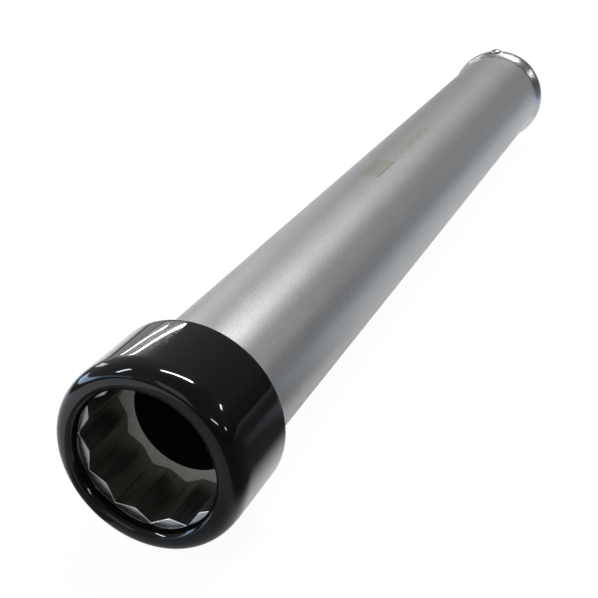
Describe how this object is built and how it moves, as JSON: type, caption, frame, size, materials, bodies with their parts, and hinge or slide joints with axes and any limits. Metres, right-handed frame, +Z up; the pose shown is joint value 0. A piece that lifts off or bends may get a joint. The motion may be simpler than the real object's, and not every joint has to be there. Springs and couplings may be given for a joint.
{
  "type": "breaker bar",
  "caption": "Straight tubular breaker bar with a booted bi-hex socket mouth at one end and a square drive with a sprung lock button in a bulged end ring at the other.",
  "frame": {"origin": "on the surface the bar lies on, under the middle of the bar's length", "axes": "+X along the bar from the socket mouth to the drive end, +Z up, with the lock button on top"},
  "size_m": [0.335, 0.0472, 0.0473],
  "materials": {
    "satin_steel": "blasted steel with a satin bright plating",
    "socket_steel": "plated steel, broached flutes left as cut",
    "drive_steel": "turned steel",
    "polished_steel": "mirror polish",
    "spring_steel": "oiled spring steel",
    "gloss_vinyl": "thick glossy dip-moulded vinyl"
  },
  "bodies": {
    "bar": {"handle_tube": "satin_steel", "socket_head": "socket_steel", "end_boot": "gloss_vinyl", "end_ring": "polished_steel", "drive_plug": "drive_steel", "button_bush": "polished_steel", "button_spring": "spring_steel", "head_pin_lower": "spring_steel", "head_pin_side": "spring_steel", "plug_pin_lower": "spring_steel", "plug_pin_side": "spring_steel"},
    "button": {"lock_button": "polished_steel"}
  },
  "joints": [
    {"name": "button_press", "type": "slide", "parent": "bar", "child": "button", "axis": [0, 0, -1], "range_m": [0, 0.0008], "stiffness_N_per_m": 600, "springref_m": -0.002, "deforming": ["button_spring"]}
  ]
}
